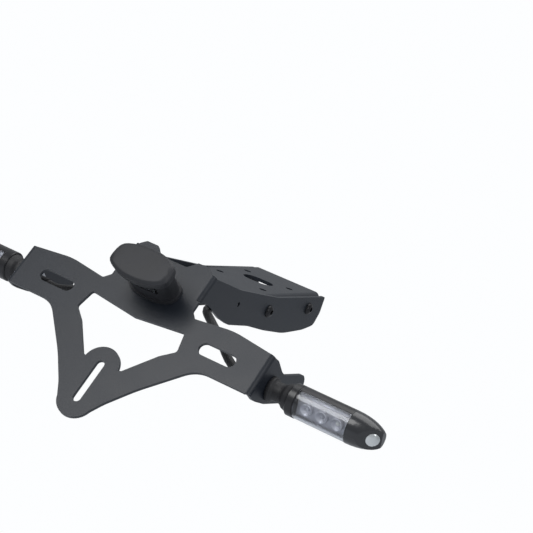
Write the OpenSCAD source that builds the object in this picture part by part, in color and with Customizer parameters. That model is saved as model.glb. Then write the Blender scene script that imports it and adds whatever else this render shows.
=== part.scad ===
// Motorcycle tail tidy: a laser-cut and folded number plate bracket on a channel
// that bolts up under the tail, with a number plate lamp and two micro indicators.
// Frame: +X to the right-hand side, +Y forward, +Z up. The origin is the centre of
// the four tail bolts, on the upper face of the mounting tray.

/* [Sheet metal] */
// Thickness of the steel sheet
sheet_t = 3; // [2.5:0.5:4]
// Lean of the number plate from the vertical, in degrees
lean = 35; // [33:1:37]
// Half width of the bracket's neck, over its side arms
neck_half_w = 38.5; // [37:0.5:41]

/* [Number plate bracket] */
// Half width of the wing, to the start of the ear's fold
wing_half_w = 111; // [108:1:116]
// Height of the wing's lower edge above the top of the middle slot
wing_low = 25; // [24:1:26]
// Height of the wing's top edge at its peak
wing_peak = 64; // [63:1:66]
// Length of a wing slot, end to end
wing_slot_l = 32; // [24:1:34]
// Width of a wing slot
wing_slot_w = 10.4; // [8:0.2:12]
// Distance between the centres of the two wing slots
wing_slot_pitch = 152; // [148:0.5:156]
// Width of the upright slot in the middle lobe
mid_slot_w = 6.8; // [6:0.2:8]
// Length of the upright slot in the middle lobe
mid_slot_l = 36.7; // [30:0.1:38]
// Radius of the lobe round the middle slot's lower end
lobe_r = 15.6; // [14.8:0.2:17]

/* [Ears] */
// Bore in the ear for the indicator's stem
stem_bore_d = 8.6; // [8.4:0.1:9]

/* [Mounting tray] */
// Length of the tray, front to back
tray_l = 132; // [126:1:136]
// Diameter of the four tail bolt holes
tail_bolt_d = 6.5; // [6.2:0.1:8]
// Distance between the tail bolts across the bike
tail_pitch_x = 44; // [40:1:46]
// Distance between the tail bolts along the bike
tail_pitch_y = 50; // [44:1:80]
// Depth of the tray's folded side lips
lip_h = 21; // [20:0.5:22]

/* [Indicators] */
// Diameter of an indicator's body
indicator_d = 25.2; // [24:0.2:27]
// Length of an indicator's lens
indicator_lens_l = 44; // [38:1:50]
// Length of an indicator's domed end cap
indicator_cap_l = 24.5; // [22:0.5:27]
// Diameter of the threaded stem
stem_d = 8; // [7.6:0.1:8.2]

/* [Number plate lamp] */
// Width of the lamp's oval head
lamp_w = 53; // [48:1:56]
// Height of the lamp's oval head
lamp_h = 30; // [26:1:31]
// Distance from the bracket to the lamp's outer face
lamp_reach = 37; // [33:1:41]

/* [Hidden] */
$fn = 48;

fit_gap = 0.1;               // clearance between moulded pieces that seat in each other
plate_y = -200;              // middle slot's top, in the row frame
plate_z = -62;
fold_r = 4;                  // outer radius of every fold
tab_x = wing_half_w + fold_r;
arm_x = neck_half_w - fold_r;
tray_front = 62;
tray_back = tray_front - tray_l;
wing_slot_v = 42.2;
lobe_v = 3 - mid_slot_l;
hump_r = 15.3;
hump_v = -3.7;
bolt_d = 6;                  // arm bolts, M6
bolt_hole_d = 6.5;
bolt_head_d = 10.6;
bolt_head_h = 3.2;
nut_af = 10;
nut_h = 5;
bolt_y = [-36, 40];          // arm bolts along the tray
bolt_z = -12.5;
stem_y = plate_y + 46;       // indicator axis
stem_z = plate_z + 23;
stem_hex = 12;
stem_nut_h = 5;
stem_washer_d = 16;
stem_washer_h = 1.2;
lamp_v = 71;                 // lamp's centre on the bracket
lamp_stud_d = 8;
lamp_stud_l = 14;
lamp_bore_d = 8.6;
lamp_head_t = 11;
lead_d = 7;                  // braided sleeve of an indicator's lead
lamp_lead_d = 5;

// Rounds each corner [x, y, r] of an outline by its own radius.
function unit(v) = v / norm(v);
function corner(a, p, b, r, k) =
    let (p2 = [p[0], p[1]], u = unit([a[0], a[1]] - p2), w = unit([b[0], b[1]] - p2),
        half = acos(max(-1, min(1, u * w))) / 2, d = r / tan(half),
        c = p2 + unit(u + w) * (r / sin(half)),
        s = p2 + u * d - c, e = p2 + w * d - c,
        a0 = atan2(s[1], s[0]), da0 = atan2(e[1], e[0]) - a0,
        da = da0 > 180 ? da0 - 360 : da0 < -180 ? da0 + 360 : da0)
    [for (i = [0:k]) c + r * [cos(a0 + da * i / k), sin(a0 + da * i / k)]];
function rounded(pts) = let (n = len(pts)) [for (i = [0:n - 1]) each
    (len(pts[i]) < 3 || pts[i][2] == 0) ? [[pts[i][0], pts[i][1]]]
    : corner(pts[(i + n - 1) % n], pts[i], pts[(i + 1) % n], pts[i][2],
        max(3, min(8, ceil(sqrt(pts[i][2]) * 1.6))))];
function mirrored(half) = concat(half, [for (i = [len(half) - 1:-1:0])
    if (abs(half[i][0]) > 0.001) [-half[i][0], half[i][1], len(half[i]) > 2 ? half[i][2] : 0]]);

// The bracket's own plane: x across, y up the number plate, z out of its face.
module in_plate() { translate([0, plate_y, plate_z]) rotate([90 - lean, 0, 0]) children(); }
// One side of the part: the right as drawn, the left as its mirror image.
module on_side(side) { if (side == "left") mirror([1, 0, 0]) children(); else children(); }
// The indicator's axis: z runs outwards from the ear's outer face, x points down, y forward.
module on_stem() { translate([tab_x, stem_y, stem_z]) rotate([0, 90, 0]) children(); }
// An outline drawn seen from the right, [forward, up] from the middle slot's top.
module side_plate(x0, t) {
    translate([x0, plate_y, plate_z]) rotate([90, 0, 90]) linear_extrude(t) children();
}
// [forward, up] of a point at v up the number plate and n out of its face.
function side_point(v, n) = [v * sin(lean) - n * cos(lean), v * cos(lean) + n * sin(lean)];
function plate_point(v, n) = side_point(v, n) + [plate_y, plate_z];

// Outline of the legs, wing and neck, right half, from the lobe up to the neck's horns.
outline_half = [
    [0, lobe_v - lobe_r / 2], [lobe_r * 0.91, lobe_v - 5.9], [21, -28.6, 60], [37, -8.4, 160],
    [69, wing_low, 24], [wing_half_w, wing_low], [wing_half_w, wing_low + 35.5],
    [77, wing_peak + 0.5, 60], [43.6, wing_peak - 3.6, 2.2], [neck_half_w, wing_peak + 1.6, 2],
    [neck_half_w, 73.6, 1], [arm_x, 75.5], [arm_x, 99], [30, 103, 2], [19, 103, 2], [12.5, 96, 2], [0, 96]];
// Inner opening between the legs and the wing, right half.
opening_half = [[0, 42], [43.6, 46.8, 2], [47.2, 30.9, 3], [37, 22.4, 12], [18, -0.8, 1.6], [0, -6]];

module slot(l, w, h) {
    linear_extrude(h) union() {
        square([l - w, w], center = true);
        for (s = [-1, 1]) translate([s * (l - w) / 2, 0]) circle(d = w);
    }
}

module bracket_face() {
    translate([0, 0, -sheet_t]) difference() {
        union() {
            linear_extrude(sheet_t) polygon(rounded(mirrored(outline_half)));
            translate([0, lobe_v, 0]) cylinder(r = lobe_r, h = sheet_t);
        }
        difference() {
            translate([0, 0, -1]) linear_extrude(sheet_t + 2) polygon(rounded(mirrored(opening_half)));
            translate([0, hump_v, -2]) cylinder(r = hump_r, h = sheet_t + 4);
        }
        for (s = [-1, 1]) translate([s * wing_slot_pitch / 2, wing_slot_v, -1])
            slot(wing_slot_l, wing_slot_w, sheet_t + 2);
        translate([0, -mid_slot_l / 2, -1]) rotate(90) slot(mid_slot_l, mid_slot_w, sheet_t + 2);
        translate([0, lamp_v, -1]) cylinder(d = lamp_bore_d, h = sheet_t + 2);
    }
}

// Section across a fold that starts at x: a flat, a round bend and a leg that runs back.
module fold_section(x, leg) {
    translate([x, -fold_r]) {
        intersection() {
            difference() { circle(r = fold_r); circle(r = fold_r - sheet_t); }
            square(fold_r + 1);
        }
        translate([-4, fold_r - sheet_t]) square([4.01, sheet_t]);
        translate([fold_r - sheet_t, -leg]) square([sheet_t, leg + 0.01]);
    }
}
module folded(x, leg) {
    in_plate() translate([0, 260, 0]) rotate([90, 0, 0]) linear_extrude(320) fold_section(x, leg);
}

// Ear at the wing's end, folded forward, with the bore for the indicator.
ear_side = [side_point(wing_low, 1), [25, 14.6, 20], [42.6, 10.8, 30], [74, 8.4, 20], [103, 7.8, 9],
    [103, 29.3, 9], [64, 31.6, 16], [57, 35, 16], [45, 44.6, 10],
    side_point(wing_low + 35.5, -fold_r), side_point(wing_low + 35.5, 1)];
module ear() {
    difference() {
        intersection() {
            folded(wing_half_w, 120);
            side_plate(wing_half_w - 6, 20) polygon(rounded(ear_side));
        }
        translate([tab_x - 12, stem_y, stem_z]) rotate([0, 90, 0]) cylinder(d = stem_bore_d, h = 24);
    }
}

// Side arm, folded forward from the neck and swept along beside the tray.
arm_side = [side_point(75, 1), side_point(75, -fold_r), [55, 59, 8], [84, 45.2, 30], [100, 39.9, 30],
    [134, 37.6, 60], [166, 32.3, 120], [204, 28, 120], [242, 29.5, 80], [262, 33, 8], [267.5, 45, 10],
    [267.5, 59.8, 1.5], [176, 61, 80], [145, 64.3, 80], [104, 69, 120], side_point(98.5, -fold_r),
    side_point(98.5, 1)];
tie_hole = [107, 57];
module arm() {
    difference() {
        intersection() {
            folded(arm_x, 240);
            side_plate(arm_x - 6, 20) polygon(rounded(arm_side));
        }
        for (y = bolt_y) translate([arm_x - 10, y, bolt_z]) rotate([0, 90, 0])
            cylinder(d = bolt_hole_d, h = 24);
        translate([arm_x - 10, plate_y + tie_hole[0], plate_z + tie_hole[1]]) rotate([0, 90, 0])
            cylinder(d = 4, h = 24);
    }
}

module plate_bracket() {
    color([0.13, 0.14, 0.16]) union() {
        in_plate() bracket_face();
        for (s = ["left", "right"]) on_side(s) {
            ear();
            arm();
        }
    }
}

// Folded tray between the arms: top sheet with the tail bolt holes, two side lips
// and a window that the leads' plugs can be reached through.
tray_half_w = neck_half_w - sheet_t - fit_gap;
tray_r = 5;
module tray_section() {
    difference() {
        union() {
            translate([-tray_half_w, -lip_h]) square([2 * tray_half_w, lip_h - tray_r]);
            translate([-tray_half_w + tray_r, -tray_r - 1]) square([2 * (tray_half_w - tray_r), tray_r + 1]);
            for (s = [-1, 1]) translate([s * (tray_half_w - tray_r), -tray_r]) circle(r = tray_r);
        }
        translate([-tray_half_w + sheet_t, -lip_h - 1]) square([2 * (tray_half_w - sheet_t), lip_h + 1 - tray_r]);
        translate([-tray_half_w + tray_r, -lip_h]) square([2 * (tray_half_w - tray_r), lip_h - sheet_t]);
        for (s = [-1, 1]) translate([s * (tray_half_w - tray_r), -tray_r]) circle(r = tray_r - sheet_t);
    }
}
module mounting_tray() {
    color([0.11, 0.12, 0.13]) difference() {
        intersection() {
            translate([0, tray_front, 0]) rotate([90, 0, 0]) linear_extrude(tray_l) tray_section();
            translate([-60, 0, 0]) rotate([90, 0, 90]) linear_extrude(120) polygon(rounded([
                [tray_back - 1, 1], [tray_back, -sheet_t], [tray_back + 8, -lip_h, 8],
                [tray_front - 5, -lip_h, 8], [tray_front, -sheet_t - 2], [tray_front + 1, 1]]));
        }
        for (sx = [-1, 1]) for (sy = [-1, 1])
            translate([sx * tail_pitch_x / 2, sy * tail_pitch_y / 2, -sheet_t - 1])
                cylinder(d = tail_bolt_d, h = sheet_t + 2);
        translate([0, 6, -sheet_t - 1]) slot(28, 20, sheet_t + 2);
        for (s = [-1, 1]) for (y = bolt_y)
            translate([s * tray_half_w, y, bolt_z]) rotate([0, 90, 0])
                cylinder(d = bolt_hole_d, h = 12, center = true);
    }
}

// M6 button-head bolts through the arms and lips, in from each side.
bolt_reach = 2 * sheet_t + fit_gap + nut_h + 1.5;
module bolt() {
    difference() {
        union() {
            rotate_extrude() polygon([[0, bolt_head_h], [2.2, bolt_head_h], [3.8, bolt_head_h - 0.6],
                [4.8, bolt_head_h - 1.5], [bolt_head_d / 2, 0.5], [bolt_head_d / 2, 0], [0, 0]]);
            translate([0, 0, -bolt_reach]) cylinder(d = bolt_d, h = bolt_reach + 0.5);
        }
        translate([0, 0, bolt_head_h - 2]) cylinder(d = 4.6, h = 3, $fn = 6);
    }
}
module arm_bolts() {
    color([0.16, 0.16, 0.17]) for (s = ["left", "right"]) on_side(s) for (y = bolt_y)
        translate([neck_half_w, y, bolt_z]) rotate([0, 90, 0]) bolt();
}
module arm_nuts() {
    color([0.62, 0.63, 0.65]) for (s = ["left", "right"]) on_side(s) for (y = bolt_y)
        translate([tray_half_w - sheet_t - nut_h, y, bolt_z]) rotate([0, 90, 0])
            difference() {
                union() {
                    cylinder(d = nut_af / cos(30), h = nut_h, $fn = 6);
                    translate([0, 0, nut_h - 1]) cylinder(d = 13, h = 1);
                }
                translate([0, 0, -1]) cylinder(d = bolt_d + 0.04, h = nut_h + 2);
            }
}

// Number plate lamp, in the bracket's plane: an oval head on a waisted body that
// stands off the web, with its light window under the head.
function oval(w, h, k) = [for (i = [0:k - 1]) let (a = 360 * i / k, c = cos(a), s = sin(a))
    [w / 2 * sign(c) * pow(abs(c), 0.8), h / 2 * sign(s) * pow(abs(s), 0.86)]];
lamp_body_w = 42;
lamp_body_h = 22;
lamp_foot_t = 3;
lamp_window = [26, 5.5, 12];
module lamp_housing() {
    color([0.12, 0.12, 0.14]) in_plate() translate([0, lamp_v, 0]) {
        difference() {
            union() {
                linear_extrude(lamp_foot_t) polygon(oval(lamp_body_w + 4, lamp_body_h + 3, 40));
                linear_extrude(lamp_reach - lamp_head_t + 0.5) polygon(oval(lamp_body_w, lamp_body_h, 40));
                hull() {
                    for (p = [[0, -6], [2.2, -1.2], [lamp_head_t - 2.6, 0], [lamp_head_t - 0.9, -2.2],
                            [lamp_head_t - 0.01, -6]])
                        translate([0, -2, lamp_reach - lamp_head_t + p[0]]) linear_extrude(0.01)
                            polygon(oval(lamp_w + p[1], lamp_h + p[1], 40));
                }
            }
            translate([-lamp_window[0] / 2, -lamp_body_h / 2 - 1, lamp_reach - lamp_head_t - lamp_window[2] - 1])
                cube([lamp_window[0], lamp_window[1] + 1, lamp_window[2]]);
        }
        translate([0, 0, -lamp_stud_l]) cylinder(d = lamp_stud_d, h = lamp_stud_l + 1);
    }
}
module lamp_lens() {
    color([0.85, 0.87, 0.9, 0.6]) in_plate() translate([0, lamp_v, lamp_reach - lamp_head_t - lamp_window[2] - 1])
        translate([-lamp_window[0] / 2 + fit_gap, -lamp_body_h / 2 + 0.4, fit_gap]) difference() {
            cube([lamp_window[0] - 2 * fit_gap, lamp_window[1] - 0.6, lamp_window[2] - 2 * fit_gap]);
            translate([1, 1, 1]) cube([lamp_window[0] - 2 * fit_gap - 2, lamp_window[1], lamp_window[2] - 2 * fit_gap - 2]);
        }
}
module lamp_led_board() {
    color([0.85, 0.85, 0.8]) in_plate() translate([0, lamp_v, lamp_reach - lamp_head_t - lamp_window[2] / 2 - 1])
        translate([0, -lamp_body_h / 2 + lamp_window[1] - 1.5, 0]) {
            translate([-11, 0, -4]) cube([22, 1.3, 8]);
            for (i = [-1:1]) translate([i * 7 - 1.4, -1.4, -1.4]) cube([2.8, 1.5, 2.8]);
        }
}
module lamp_washer() {
    color([0.6, 0.61, 0.63]) in_plate() translate([0, lamp_v, -sheet_t - 1.2]) difference() {
        cylinder(d = 15, h = 1.2);
        translate([0, 0, -1]) cylinder(d = lamp_bore_d, h = 4);
    }
}
module lamp_nut() {
    color([0.62, 0.63, 0.65]) in_plate() translate([0, lamp_v, -sheet_t - 1.2 - stem_nut_h]) difference() {
        cylinder(d = 13 / cos(30), h = stem_nut_h, $fn = 6);
        translate([0, 0, -1]) cylinder(d = lamp_stud_d + 0.04, h = stem_nut_h + 2);
    }
}

// Indicator. All its pieces turn about the stem's axis. Distances run out from the tab.
collar_z = 13;               // start of the flared collar
lens_z = 25.5;               // start of the lens
bezel_l = 6.5;               // plain ring of the housing behind the lens
cap_z = lens_z + indicator_lens_l;
body_r = indicator_d / 2;
wall = 1.8;
lens_half = 74;              // half of the arc that the lens covers, in degrees
lens_turn = 18;              // the lens faces the rear, turned down a little
neck_r = 7.4;
module stalk() {
    rotate_extrude() polygon([[0, -2], [0, lens_z - 1], [body_r - wall - 0.1, lens_z - 1],
        [body_r - wall - 0.1, lens_z - bezel_l], [body_r - 1.4, lens_z - bezel_l],
        [body_r - 2, lens_z - bezel_l - 1.6], [neck_r + 2.4, collar_z + 1.6], [neck_r + 0.6, collar_z - 0.6],
        [neck_r, collar_z - 3], [neck_r, 5.6], [neck_r + 0.7, 4.2], [9.2, 3.4], [9.6, 2.6], [9.6, 0.6], [9, 0],
        [stem_d / 2, 0], [stem_d / 2, -2]]);
    translate([0, 0, -17]) cylinder(d = stem_d, h = 16);
}
// A wedge of the body's round, from the axis outwards.
module wedge(half, r, z0, z1) {
    translate([0, 0, z0]) linear_extrude(z1 - z0) polygon(concat([[0, 0]],
        [for (i = [0:12]) let (a = -half + 2 * half * i / 12) r * [cos(a), sin(a)]]));
}
module housing() {
    difference() {
        rotate_extrude() polygon([[body_r - wall, lens_z - bezel_l], [body_r - 0.8, lens_z - bezel_l],
            [body_r, lens_z - bezel_l + 0.8], [body_r, lens_z - 0.4], [body_r - 0.5, lens_z - 0.1],
            [body_r, lens_z + 0.2], [body_r, cap_z], [body_r - wall, cap_z]]);
        wedge(lens_half, 40, lens_z + 0.6, cap_z + 1);
    }
}
module lens() {
    intersection() {
        rotate_extrude() polygon([[body_r - wall + fit_gap, lens_z + 0.7], [body_r - 0.3, lens_z + 0.7], [body_r - 0.3, cap_z - 0.1],
            [body_r - wall + fit_gap, cap_z - 0.1]]);
        wedge(lens_half - 0.5, 40, lens_z + 0.6, cap_z + 1);
    }
}
board_x = 3.5;
module led_board() {
    chord = sqrt(pow(body_r - wall - 0.3, 2) - board_x * board_x) - 0.4;
    translate([board_x - 1.6, -chord, lens_z + 0.4]) cube([1.6, 2 * chord, indicator_lens_l - 0.8]);
    for (i = [0:2]) translate([board_x - 0.1, -3.2, lens_z + 8.5 + i * (indicator_lens_l - 17) / 2 - 3.2]) difference() {
        cube([2.2, 6.4, 6.4]);
        translate([1.2, 3.2, 3.2]) rotate([0, 90, 0]) cylinder(d = 4.8, h = 3);
    }
}
// Domed cap, cut off by a slanting flat that holds the clear tip.
tip_d = 10.5;
tip_t = 3;
cap_profile = [for (a = [0:9:90]) [body_r * cos(a), cap_z + 0.4 + (indicator_cap_l + 3) * sin(a)]];
module tip_place() { translate([4.4, 0, cap_z + indicator_cap_l - 5.2]) rotate([0, 52, 0]) children(); }
module end_cap() {
    difference() {
        rotate_extrude() polygon(concat([[0, cap_z]], [[body_r, cap_z]], cap_profile));
        translate([0, 0, cap_z + indicator_cap_l]) cylinder(r = 30, h = 20);
        tip_place() cylinder(d = 40, h = 20);
        tip_place() translate([0, 0, -tip_t]) cylinder(d = tip_d + 2 * fit_gap, h = 20);
    }
}
module tip_lens() {
    tip_place() translate([0, 0, -tip_t]) {
        cylinder(d = tip_d, h = tip_t);
        translate([0, 0, tip_t]) cylinder(d1 = tip_d, d2 = tip_d * 0.55, h = 1.1);
    }
}
module washer() {
    translate([0, 0, -sheet_t - stem_washer_h]) difference() {
        cylinder(d = stem_washer_d, h = stem_washer_h);
        translate([0, 0, -1]) cylinder(d = stem_bore_d, h = 4);
    }
}
module nut() {
    translate([0, 0, -sheet_t - stem_washer_h - stem_nut_h]) difference() {
        cylinder(d = stem_hex / cos(30), h = stem_nut_h, $fn = 6);
        translate([0, 0, -1]) cylinder(d = stem_d + 0.04, h = stem_nut_h + 2);
    }
}
module indicator(side, piece) {
    on_side(side) on_stem() rotate(lens_turn - 90) {
        if (piece == "stalk") color([0.1, 0.1, 0.11]) stalk();
        if (piece == "housing") color([0.07, 0.07, 0.08]) housing();
        if (piece == "lens") color([0.8, 0.82, 0.86, 0.5]) lens();
        if (piece == "led_board") color([0.75, 0.75, 0.78]) led_board();
        if (piece == "end_cap") color([0.1, 0.1, 0.12]) end_cap();
        if (piece == "tip_lens") color([0.8, 0.85, 0.85, 0.6]) tip_lens();
        if (piece == "washer") color([0.6, 0.61, 0.63]) washer();
        if (piece == "nut") color([0.62, 0.63, 0.65]) nut();
    }
}

// A round lead swept along a smooth curve through its own points.
function catmull(p, steps) = let (n = len(p)) concat([for (i = [0:n - 2]) each
    let (a = p[max(0, i - 1)], b = p[i], c = p[i + 1], d = p[min(n - 1, i + 2)])
    [for (k = [0:steps - 1]) let (t = k / steps)
        0.5 * (2 * b + (c - a) * t + (2 * a - 5 * b + 4 * c - d) * t * t + (3 * b - a - 3 * c + d) * t * t * t)]],
    [p[n - 1]]);
module sweep(route, d, sides, steps) {
    path = catmull(route, steps);
    n = len(path);
    rings = [for (i = [0:n - 1]) let (t = unit(path[min(n - 1, i + 1)] - path[max(0, i - 1)]),
        a = unit(cross(t, [0.11, 0.23, 1])), b = cross(t, a))
        for (k = [0:sides - 1]) path[i] + d / 2 * (a * cos(360 * k / sides) + b * sin(360 * k / sides))];
    polyhedron(rings, concat([[for (k = [0:sides - 1]) k]],
        [for (i = [0:n - 2]) for (k = [0:sides - 1]) let (m = (k + 1) % sides)
            [i * sides + k, (i + 1) * sides + k, (i + 1) * sides + m, i * sides + m]],
        [[for (k = [sides - 1:-1:0]) (n - 1) * sides + k]]));
}
function at(p) = [p[0], p[1] + plate_y, p[2] + plate_z];
lead_start_x = tab_x - 17.2;
plug_y = 4.1;
lead_route = concat([[lead_start_x, stem_y, stem_z], [lead_start_x - 10, stem_y, stem_z]],
    [for (p = [[72, 52, 28], [58, 57, 38], [44, 61, 46.5], [34, 68, 50.5], [29.8, 80, 52.4],
        [29.4, 98, 53.2], [28, 118, 54.4], [20, 134, 54.8], [11.6, 148, 54.8], [9.6, 164, 54.8],
        [10.6, 184, 54.8]]) at(p)], [[12, plug_y - 0.1, -7.2]]);
lamp_plug_y = -27;
lamp_out = plate_point(lamp_v, -lamp_stud_l - 0.2);
lamp_on = plate_point(lamp_v, -lamp_stud_l - 6);
lamp_route = concat([[0, lamp_out[0], lamp_out[1]], [1, lamp_on[0], lamp_on[1]]],
    [for (p = [[9, 71, 48.6], [18, 84, 51.5], [20.6, 98, 53.4], [18.6, 116, 55.2], [7, 136, 55.4],
        [1, 152, 55.6]]) at(p)], [[0, lamp_plug_y - 0.1, -6.4]]);
module lead(side) {
    color([0.08, 0.08, 0.09]) on_side(side) sweep(lead_route, lead_d, 10, 3);
}
module lamp_lead() { color([0.08, 0.08, 0.09]) sweep(lamp_route, lamp_lead_d, 10, 3); }

// Two-way plugs on the ends of the leads, lying along the tray's underside.
module plug(x, y, z, w) {
    color([0.15, 0.15, 0.16]) translate([x - w / 2, y, z]) difference() {
        union() {
            cube([w, 17, 7]);
            translate([1, 15, 1]) cube([w - 2, 6, 5]);
            translate([w / 2 - 1.8, 3, -1.2]) cube([3.6, 10, 1.4]);
        }
        for (s = [-1, 1]) translate([w / 2 + s * w / 4, 14, 3.5]) rotate([-90, 0, 0]) cylinder(d = 2, h = 8);
    }
}
module connector_right() { plug(12, plug_y, -10.4, 10); }
module connector_left() { plug(-12, plug_y, -10.4, 10); }
module connector_lamp() { plug(0, lamp_plug_y, -10.2, 9); }

// Nylon cable ties round the leads.
module tie(x, y, z, d) {
    translate([x, y, z]) {
        rotate([90, 0, 0]) difference() {
            cylinder(d = d + 2.6, h = 3.4, center = true);
            cylinder(d = d + 0.3, h = 4, center = true);
        }
        translate([-2.4, -2.6, -d / 2 - 4.2]) cube([4.8, 5.2, 3.6]);
    }
}
module cable_ties() {
    color([0.05, 0.05, 0.06]) {
        tie(9.6, -37, -7.2, lead_d);
        mirror([1, 0, 0]) tie(9.6, -37, -7.2, lead_d);
    }
}

plate_bracket();
mounting_tray();
arm_bolts();
arm_nuts();
lamp_housing();
lamp_lens();
lamp_led_board();
lamp_washer();
lamp_nut();
lamp_lead();
indicator("right", "stalk");  // right_stalk
indicator("right", "housing");  // right_housing
indicator("right", "lens");  // right_lens
indicator("right", "led_board");  // right_led_board
indicator("right", "end_cap");  // right_end_cap
indicator("right", "tip_lens");  // right_tip_lens
indicator("right", "washer");  // right_washer
indicator("right", "nut");  // right_nut
lead("right");  // right_lead
indicator("left", "stalk");  // left_stalk
indicator("left", "housing");  // left_housing
indicator("left", "lens");  // left_lens
indicator("left", "led_board");  // left_led_board
indicator("left", "end_cap");  // left_end_cap
indicator("left", "tip_lens");  // left_tip_lens
indicator("left", "washer");  // left_washer
indicator("left", "nut");  // left_nut
lead("left");  // left_lead
connector_right();
connector_left();
connector_lamp();
cable_ties();
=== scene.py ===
import math

import bmesh
import bpy
from mathutils import Matrix, Vector


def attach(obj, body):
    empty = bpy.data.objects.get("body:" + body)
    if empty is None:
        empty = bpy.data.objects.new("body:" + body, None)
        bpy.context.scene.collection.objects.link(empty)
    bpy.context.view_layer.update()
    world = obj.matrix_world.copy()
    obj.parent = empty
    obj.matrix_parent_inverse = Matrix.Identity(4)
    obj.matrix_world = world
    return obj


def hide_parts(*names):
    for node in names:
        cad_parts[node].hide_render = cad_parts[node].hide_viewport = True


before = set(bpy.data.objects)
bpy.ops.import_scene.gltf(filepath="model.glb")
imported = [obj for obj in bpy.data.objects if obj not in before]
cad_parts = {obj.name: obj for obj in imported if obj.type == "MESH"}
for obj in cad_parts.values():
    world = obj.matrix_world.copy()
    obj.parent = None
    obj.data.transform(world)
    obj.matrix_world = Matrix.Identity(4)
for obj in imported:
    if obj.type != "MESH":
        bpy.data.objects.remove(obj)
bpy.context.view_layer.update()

# Camera, where the photographer stood: behind the bike, to its right and a little above,
# with the picture turned by the roll that the photograph has.
camera_data = bpy.data.cameras.new("camera")
camera_data.lens = 92.35
camera_data.sensor_width = 36.0
camera_data.clip_end = 20.0
camera = bpy.data.objects.new("camera", camera_data)
bpy.context.scene.collection.objects.link(camera)
camera_right = Vector((0.8311, 0.4583, 0.3150)).normalized()
camera_back = Vector((0.4284, -0.8889, 0.1626)).normalized()
camera_up = camera_back.cross(camera_right).normalized()
camera_right = camera_up.cross(camera_back)
camera.matrix_world = Matrix.Translation((0.5086, -1.0423, 0.2055)) @ Matrix(
    (camera_right, camera_up, camera_back)
).transposed().to_4x4()
bpy.context.scene.camera = camera
bpy.context.scene.view_settings.view_transform = "Standard"

# Studio: an even white room, a plain pale floor and three soft panels.
room = bpy.data.worlds.new("room")
bpy.context.scene.world = room
room.use_nodes = True
room_nodes = room.node_tree.nodes
room_links = room.node_tree.links
room_nodes["Background"].inputs["Color"].default_value = (0.93, 0.96, 1.0, 1)
room_nodes["Background"].inputs["Strength"].default_value = 0.42
room_seen = room_nodes.new("ShaderNodeBackground")
room_seen.inputs["Color"].default_value = (0.98, 0.99, 1.0, 1)
room_mix = room_nodes.new("ShaderNodeMixShader")
room_path = room_nodes.new("ShaderNodeLightPath")
room_clear = room_nodes.new("ShaderNodeMath")
room_clear.operation = "MAXIMUM"
room_links.new(room_path.outputs["Is Camera Ray"], room_clear.inputs[0])
room_links.new(room_path.outputs["Is Transmission Ray"], room_clear.inputs[1])
room_links.new(room_clear.outputs["Value"], room_mix.inputs["Fac"])
room_links.new(room_nodes["Background"].outputs["Background"], room_mix.inputs[1])
room_links.new(room_seen.outputs["Background"], room_mix.inputs[2])
room_links.new(room_mix.outputs["Shader"], room_nodes["World Output"].inputs["Surface"])
floor_level = -0.32
floor_half = 6.0
floor_mesh = bpy.data.meshes.new("floor")
floor_mesh.from_pydata(
    [(x * floor_half, y * floor_half, floor_level) for x, y in ((-1, -1), (1, -1), (1, 1), (-1, 1))],
    [],
    [(0, 1, 2, 3)],
)
floor = bpy.data.objects.new("floor", floor_mesh)
bpy.context.scene.collection.objects.link(floor)
paper = bpy.data.materials.new("white_paper")
paper.use_nodes = True
paper_nodes = paper.node_tree.nodes
paper_links = paper.node_tree.links
paper_nodes["Principled BSDF"].inputs["Base Color"].default_value = (0.62, 0.64, 0.67, 1)
paper_nodes["Principled BSDF"].inputs["Roughness"].default_value = 0.9
paper_glow = paper_nodes.new("ShaderNodeEmission")
paper_glow.inputs["Color"].default_value = (0.98, 0.99, 1.0, 1)
paper_mix = paper_nodes.new("ShaderNodeMixShader")
paper_path = paper_nodes.new("ShaderNodeLightPath")
paper_links.new(paper_path.outputs["Is Camera Ray"], paper_mix.inputs["Fac"])
paper_links.new(paper_nodes["Principled BSDF"].outputs["BSDF"], paper_mix.inputs[1])
paper_links.new(paper_glow.outputs["Emission"], paper_mix.inputs[2])
paper_links.new(paper_mix.outputs["Shader"], paper_nodes["Material Output"].inputs["Surface"])
floor_mesh.materials.append(paper)
for name, place, aim, size, power in (
    ("key_panel", (-0.5, -1.3, 1.1), (0.0, -0.16, -0.03), 0.9, 11.0),
    ("side_panel", (1.3, -0.7, 0.5), (0.1, -0.15, -0.03), 0.6, 3.0),
    ("top_panel", (0.1, 0.3, 1.4), (0.0, -0.1, -0.03), 1.2, 9.0),
):
    panel = bpy.data.lights.new(name, "AREA")
    panel.size = size
    panel.energy = power
    lamp = bpy.data.objects.new(name, panel)
    bpy.context.scene.collection.objects.link(lamp)
    lamp.location = place
    lamp.rotation_mode = "QUATERNION"
    lamp.rotation_quaternion = (Vector(aim) - Vector(place)).to_track_quat("-Z", "Y")


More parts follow.
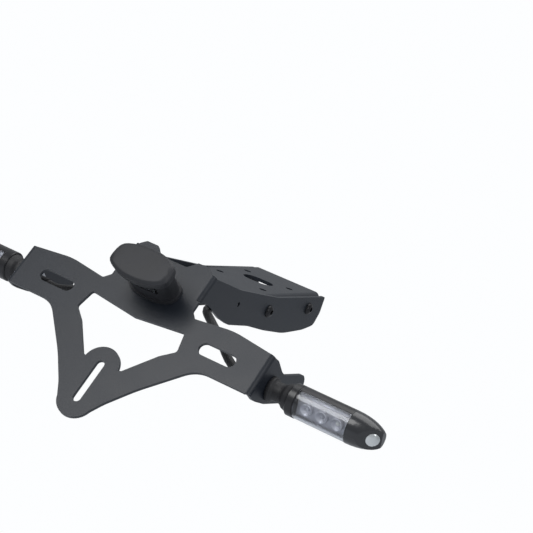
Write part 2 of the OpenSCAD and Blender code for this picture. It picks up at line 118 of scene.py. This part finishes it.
# A node's own solid as a piece: its flats are joined, its edges rounded and its curves smoothed.
def dressed(node, rim, name):
    mesh = bpy.data.meshes.new(name)
    bm = bmesh.new()
    bm.from_mesh(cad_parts[node].data)
    bmesh.ops.remove_doubles(bm, verts=bm.verts, dist=2e-6)
    bmesh.ops.dissolve_limit(bm, angle_limit=math.radians(0.6), verts=bm.verts, edges=bm.edges)
    if rim:
        corners = [e for e in bm.edges if e.is_manifold and e.calc_face_angle(0) > math.radians(40)]
        bmesh.ops.bevel(
            bm, geom=corners, offset=rim, segments=2, profile=0.5, affect="EDGES",
            material=-1, clamp_overlap=True,
        )
    bmesh.ops.triangulate(bm, faces=[f for f in bm.faces if len(f.verts) > 4])
    bmesh.ops.recalc_face_normals(bm, faces=bm.faces)
    bm.to_mesh(mesh)
    bm.free()
    for layer in [a.name for a in mesh.attributes if a.name == "custom_normal"]:
        mesh.attributes.remove(mesh.attributes[layer])
    mesh.materials.clear()
    mesh.shade_smooth()
    mesh.set_sharp_from_angle(angle=math.radians(48))
    piece = bpy.data.objects.new(name, mesh)
    bpy.context.scene.collection.objects.link(piece)
    even = piece.modifiers.new("even_shading", "WEIGHTED_NORMAL")
    even.keep_sharp = True
    even.weight = 90
    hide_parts(node)
    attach(piece, "root")
    return piece


# A surface with a fine grain: two colours clouded together, a wandering roughness and a bump.
def grained(name, dark, light, rough, metal, grain_size, bump, spread=0.06, coat=0.0):
    material = bpy.data.materials.new(name)
    material.use_nodes = True
    nodes = material.node_tree.nodes
    links = material.node_tree.links
    shader = nodes["Principled BSDF"]
    shader.inputs["Metallic"].default_value = metal
    shader.inputs["Coat Weight"].default_value = coat
    shader.inputs["Coat Roughness"].default_value = 0.12
    place = nodes.new("ShaderNodeTexCoord")
    cloud = nodes.new("ShaderNodeTexNoise")
    cloud.inputs["Scale"].default_value = 38.0
    cloud.inputs["Detail"].default_value = 5.0
    links.new(place.outputs["Object"], cloud.inputs["Vector"])
    colour = nodes.new("ShaderNodeValToRGB")
    colour.color_ramp.elements[0].position = 0.3
    colour.color_ramp.elements[0].color = (*dark, 1)
    colour.color_ramp.elements[1].position = 0.72
    colour.color_ramp.elements[1].color = (*light, 1)
    links.new(cloud.outputs["Fac"], colour.inputs["Fac"])
    links.new(colour.outputs["Color"], shader.inputs["Base Color"])
    polish = nodes.new("ShaderNodeMapRange")
    polish.inputs["To Min"].default_value = max(0.0, rough - spread)
    polish.inputs["To Max"].default_value = rough + spread
    links.new(cloud.outputs["Fac"], polish.inputs["Value"])
    links.new(polish.outputs["Result"], shader.inputs["Roughness"])
    grain = nodes.new("ShaderNodeTexNoise")
    grain.inputs["Scale"].default_value = 1.0 / grain_size
    grain.inputs["Detail"].default_value = 3.0
    links.new(place.outputs["Object"], grain.inputs["Vector"])
    relief = nodes.new("ShaderNodeBump")
    relief.inputs["Strength"].default_value = bump
    relief.inputs["Distance"].default_value = 0.0002
    links.new(grain.outputs["Fac"], relief.inputs["Height"])
    links.new(relief.outputs["Normal"], shader.inputs["Normal"])
    return material


# Sheet metal: the folded bracket and its tray in satin black powder coat, a fine orange peel
# over laser-cut edges that the coat has rounded.
powder_coat = grained("powder_coat", (0.009, 0.0125, 0.019), (0.014, 0.018, 0.026), 0.4, 0.0, 0.0011, 0.28)
for node, rim in (("plate_bracket", 0.00045), ("mounting_tray", 0.0004)):
    dressed(node, rim, node + "_coated").data.materials.append(powder_coat)

# Fasteners: black button-head bolts with socket recesses, and bright zinc nuts and washers.
black_oxide = grained("black_oxide", (0.018, 0.018, 0.02), (0.032, 0.032, 0.036), 0.34, 0.6, 0.0006, 0.12)
dressed("arm_bolts", 0.0002, "button_head_bolts").data.materials.append(black_oxide)
zinc_plate = grained("zinc_plate", (0.46, 0.47, 0.5), (0.62, 0.63, 0.64), 0.3, 1.0, 0.0008, 0.1)
zinc_pieces = ("arm_nuts", "lamp_washer", "lamp_nut", "right_washer", "right_nut", "left_washer", "left_nut")
for node in zinc_pieces:
    dressed(node, 0.00015, node + "_plated").data.materials.append(zinc_plate)

# Number plate lamp: an oval moulded head on a waisted body, dark grey, with a clear window
# on its underside and a white board with three light chips behind it.
lamp_moulding = grained("lamp_moulding", (0.016, 0.017, 0.020), (0.026, 0.027, 0.032), 0.52, 0.0, 0.0007, 0.3)
lamp_head = dressed("lamp_housing", 0.0, "lamp_moulded_head")
lamp_head.data.materials.append(lamp_moulding)
# The head's outline is drawn out from the plain oval to two long arcs with blunt, rounded ends.
lean = math.radians(35)
plate_up = Vector((0, math.sin(lean), math.cos(lean)))
plate_out = Vector((0, -math.cos(lean), math.sin(lean)))
lamp_centre = Vector((0, -0.2, -0.062)) + plate_up * 0.071
head_from = 0.0259
head_half_w = 0.0265
head_half_h = 0.015
arc_r = 0.052
for v in lamp_head.data.vertices:
    offset = v.co - lamp_centre
    out, across, up = offset.dot(plate_out), offset.x, offset.dot(plate_up)
    reach = math.hypot(across, up)
    if out < head_from or reach < 1e-4:
        continue
    c, s = abs(across) / reach, abs(up) / reach
    oval = ((c / head_half_w) ** 2.4 + (s / head_half_h) ** 2.4) ** (-1 / 2.4)
    drop = arc_r - head_half_h
    arc = -drop * s + math.sqrt((drop * s) ** 2 + arc_r ** 2 - drop ** 2)
    end = head_half_w / max(c, 1e-6)
    blunt = (arc ** -14 + end ** -14) ** (-1 / 14)
    grow = min(1.25, max(0.9, blunt / oval))
    v.co = lamp_centre + plate_out * out + Vector((across, 0, 0)) * grow + plate_up * up * grow
board_white = grained("board_white", (0.62, 0.63, 0.58), (0.74, 0.75, 0.7), 0.38, 0.0, 0.001, 0.05)
dressed("lamp_led_board", 0.0001, "lamp_light_board").data.materials.append(board_white)


# Clear moulding: acrylic with a faint ripple and a slight smoke tint.
def clear_moulding(name, tint, rough):
    material = bpy.data.materials.new(name)
    material.use_nodes = True
    nodes = material.node_tree.nodes
    links = material.node_tree.links
    shader = nodes["Principled BSDF"]
    shader.inputs["Base Color"].default_value = (*tint, 1)
    shader.inputs["Transmission Weight"].default_value = 1.0
    shader.inputs["IOR"].default_value = 1.49
    place = nodes.new("ShaderNodeTexCoord")
    ripple = nodes.new("ShaderNodeTexNoise")
    ripple.inputs["Scale"].default_value = 120.0
    links.new(place.outputs["Object"], ripple.inputs["Vector"])
    polish = nodes.new("ShaderNodeMapRange")
    polish.inputs["To Min"].default_value = rough
    polish.inputs["To Max"].default_value = rough + 0.06
    links.new(ripple.outputs["Fac"], polish.inputs["Value"])
    links.new(polish.outputs["Result"], shader.inputs["Roughness"])
    relief = nodes.new("ShaderNodeBump")
    relief.inputs["Strength"].default_value = 0.06
    relief.inputs["Distance"].default_value = 0.0002
    links.new(ripple.outputs["Fac"], relief.inputs["Height"])
    links.new(relief.outputs["Normal"], shader.inputs["Normal"])
    return material


acrylic = clear_moulding("clear_acrylic", (0.86, 0.88, 0.92), 0.02)
dressed("lamp_lens", 0.0002, "lamp_clear_window").data.materials.append(acrylic)

# Indicators: rubber stalk, black barrel, clear lens, domed cap and its clear tip, each side.
stalk_rubber = grained("stalk_rubber", (0.014, 0.014, 0.016), (0.024, 0.024, 0.027), 0.55, 0.0, 0.0006, 0.25)
barrel_plastic = grained(
    "barrel_plastic", (0.012, 0.012, 0.014), (0.018, 0.018, 0.021), 0.3, 0.0, 0.0008, 0.1
)
cap_plastic = grained(
    "cap_plastic", (0.016, 0.017, 0.02), (0.022, 0.023, 0.027), 0.24, 0.0, 0.0008, 0.05, 0.03, 0.4
)
tip_acrylic = grained(
    "tip_acrylic", (0.5, 0.53, 0.54), (0.86, 0.88, 0.89), 0.14, 0.5, 0.0014, 0.8, 0.05, 1.0
)
for side in ("right", "left"):
    for piece, rim, slot, material in (
        ("stalk", 0.0, "rubber", stalk_rubber),
        ("housing", 0.0002, "black_plastic", barrel_plastic),
        ("lens", 0.0002, "clear_plastic", acrylic),
        ("end_cap", 0.0003, "gloss_black", cap_plastic),
        ("tip_lens", 0.0002, "clear_plastic", tip_acrylic),
    ):
        finished = dressed(f"{side}_{piece}", rim, f"{side}_{piece}_moulded")
        finished.data.materials.append(material)

# Light unit in each indicator: a silvered tray with three round reflector bowls, each with
# a pale domed chip, lying along the barrel behind the lens.
silvering = grained("silvering", (0.5, 0.5, 0.53), (0.78, 0.78, 0.82), 0.32, 0.35, 0.0009, 0.35)
chip_glow = grained("light_chip", (0.82, 0.82, 0.78), (0.95, 0.95, 0.92), 0.25, 0.0, 0.0008, 0.05)
barrel_y = -0.154
barrel_z = -0.039
barrel_turn = math.radians(18)
lens_from = 0.1405
lens_long = 0.044
tray_floor = 0.0019
tray_top = 0.0035
tray_half = 0.0092
bowl_r = 0.0046
bowl_step = 0.0128
bowl_lift = 0.0006
chip_r = 0.00165
bowl_profile = (
    (0.0, 0.0), (0.0012, 0.0002), (0.0026, 0.0009), (0.0038, 0.0021), (0.0043, 0.0029), (bowl_r, 0.0029),
    (bowl_r + 0.0003, 0.0025), (bowl_r + 0.0003, -0.0004),
)
bowl_steps = 28
skirt_r = 0.0104
skirt_from = 58
skirt_to = 100
skirt_wall = 0.0005
rib_start = 0.0028
rib_step = 0.0011
rib_count = 36
for side, sign in (("right", 1), ("left", -1)):
    bm = bmesh.new()
    tray = bmesh.ops.create_cube(bm, size=1.0)["verts"]
    for v in tray:
        v.co = Vector((
            (tray_floor + tray_top) / 2 + v.co.x * (tray_top - tray_floor),
            v.co.y * 2 * tray_half,
            lens_long / 2 + v.co.z * (lens_long - 0.001),
        ))
    for i in range(rib_count):
        z = rib_start + i * rib_step
        rib = bmesh.ops.create_cube(bm, size=1.0)["verts"]
        for v in rib:
            v.co = Vector((tray_top + v.co.x * 0.0003, v.co.y * (2 * tray_half - 0.001), z + v.co.z * 0.0005))
    for k in (-1, 0, 1):
        middle = lens_long / 2 + k * bowl_step
        rings = []
        for i in range(bowl_steps):
            a = 2 * math.pi * i / bowl_steps
            rings.append([
                bm.verts.new((tray_top + bowl_lift + h, r * math.cos(a), middle + r * math.sin(a)))
                for r, h in bowl_profile[1:]
            ])
        hub = bm.verts.new((tray_top + bowl_lift, 0, middle))
        for i in range(bowl_steps):
            a, b = rings[i], rings[(i + 1) % bowl_steps]
            bm.faces.new((hub, a[0], b[0]))
            for j in range(len(a) - 1):
                bm.faces.new((a[j], a[j + 1], b[j + 1], b[j]))
    # A curved silvered skirt each side of the tray, close under the lens.
    skirt_steps = 7
    for edge in (-1, 1):
        ends = []
        for i in range(skirt_steps + 1):
            a = edge * math.radians(skirt_from + (skirt_to - skirt_from) * i / skirt_steps)
            ends.append([
                bm.verts.new((r * math.cos(a), r * math.sin(a), z))
                for z in (0.001, lens_long - 0.0006) for r in (skirt_r, skirt_r - skirt_wall)
            ])
        for a, b in zip(ends, ends[1:]):
            for i, j in ((0, 1), (1, 3), (3, 2), (2, 0)):
                bm.faces.new((a[i], a[j], b[j], b[i]))
        bm.faces.new([ends[0][i] for i in (0, 1, 3, 2)])
        bm.faces.new([ends[-1][i] for i in (0, 1, 3, 2)])
    chips = []
    for k in (-1, 0, 1):
        chip = bmesh.ops.create_icosphere(bm, subdivisions=3, radius=chip_r)["verts"]
        for v in chip:
            v.co = Vector((
                tray_top + 0.0008 + v.co.x * 0.9, v.co.y, lens_long / 2 + k * bowl_step + v.co.z
            ))
            chips.append(v)
    chip_set = set(chips)
    for face in bm.faces:
        face.material_index = 1 if face.verts[0] in chip_set else 0
        face.smooth = len(face.verts) < 4 or abs(face.normal.x) < 0.99
    # Local x points out of the lens, y across it and z out along the barrel.
    for v in bm.verts:
        out, across, along = v.co
        v.co = Vector((
            sign * (lens_from + along),
            barrel_y - out * math.cos(barrel_turn) + across * math.sin(barrel_turn),
            barrel_z - out * math.sin(barrel_turn) - across * math.cos(barrel_turn),
        ))
    bmesh.ops.recalc_face_normals(bm, faces=bm.faces)
    mesh = bpy.data.meshes.new(f"{side}_light_unit")
    bm.to_mesh(mesh)
    bm.free()
    mesh.materials.append(silvering)
    mesh.materials.append(chip_glow)
    unit = bpy.data.objects.new(f"{side}_light_unit", mesh)
    bpy.context.scene.collection.objects.link(unit)
    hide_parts(f"{side}_led_board")
    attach(unit, "root")

# Leads: black braided sleeve over the wires, woven by two crossed diagonal waves.
braid = bpy.data.materials.new("braided_sleeve")
braid.use_nodes = True
braid_nodes = braid.node_tree.nodes
braid_links = braid.node_tree.links
braid_shader = braid_nodes["Principled BSDF"]
braid_shader.inputs["Roughness"].default_value = 0.62
braid_shader.inputs["Sheen Weight"].default_value = 0.25
braid_place = braid_nodes.new("ShaderNodeTexCoord")
braid_sum = braid_nodes.new("ShaderNodeMath")
braid_sum.operation = "MULTIPLY"
for turn in (45, -45):
    turned = braid_nodes.new("ShaderNodeMapping")
    turned.inputs["Rotation"].default_value = (math.radians(turn), 0, math.radians(turn))
    strand = braid_nodes.new("ShaderNodeTexWave")
    strand.inputs["Scale"].default_value = 260.0
    strand.inputs["Distortion"].default_value = 0.6
    braid_links.new(braid_place.outputs["Object"], turned.inputs["Vector"])
    braid_links.new(turned.outputs["Vector"], strand.inputs["Vector"])
    braid_links.new(strand.outputs["Fac"], braid_sum.inputs[0 if turn > 0 else 1])
braid_colour = braid_nodes.new("ShaderNodeValToRGB")
braid_colour.color_ramp.elements[0].color = (0.010, 0.010, 0.011, 1)
braid_colour.color_ramp.elements[1].color = (0.048, 0.049, 0.053, 1)
braid_links.new(braid_sum.outputs["Value"], braid_colour.inputs["Fac"])
braid_links.new(braid_colour.outputs["Color"], braid_shader.inputs["Base Color"])
braid_relief = braid_nodes.new("ShaderNodeBump")
braid_relief.inputs["Strength"].default_value = 0.5
braid_relief.inputs["Distance"].default_value = 0.0004
braid_links.new(braid_sum.outputs["Value"], braid_relief.inputs["Height"])
braid_links.new(braid_relief.outputs["Normal"], braid_shader.inputs["Normal"])
for node in ("right_lead", "left_lead", "lamp_lead"):
    dressed(node, 0.0, node + "_braided").data.materials.append(braid)

# Plugs and cable ties: black nylon.
nylon = grained("black_nylon", (0.016, 0.016, 0.018), (0.026, 0.026, 0.029), 0.4, 0.0, 0.0007, 0.2)
for node in ("connector_right", "connector_left", "connector_lamp", "cable_ties"):
    dressed(node, 0.0002, node + "_nylon").data.materials.append(nylon)
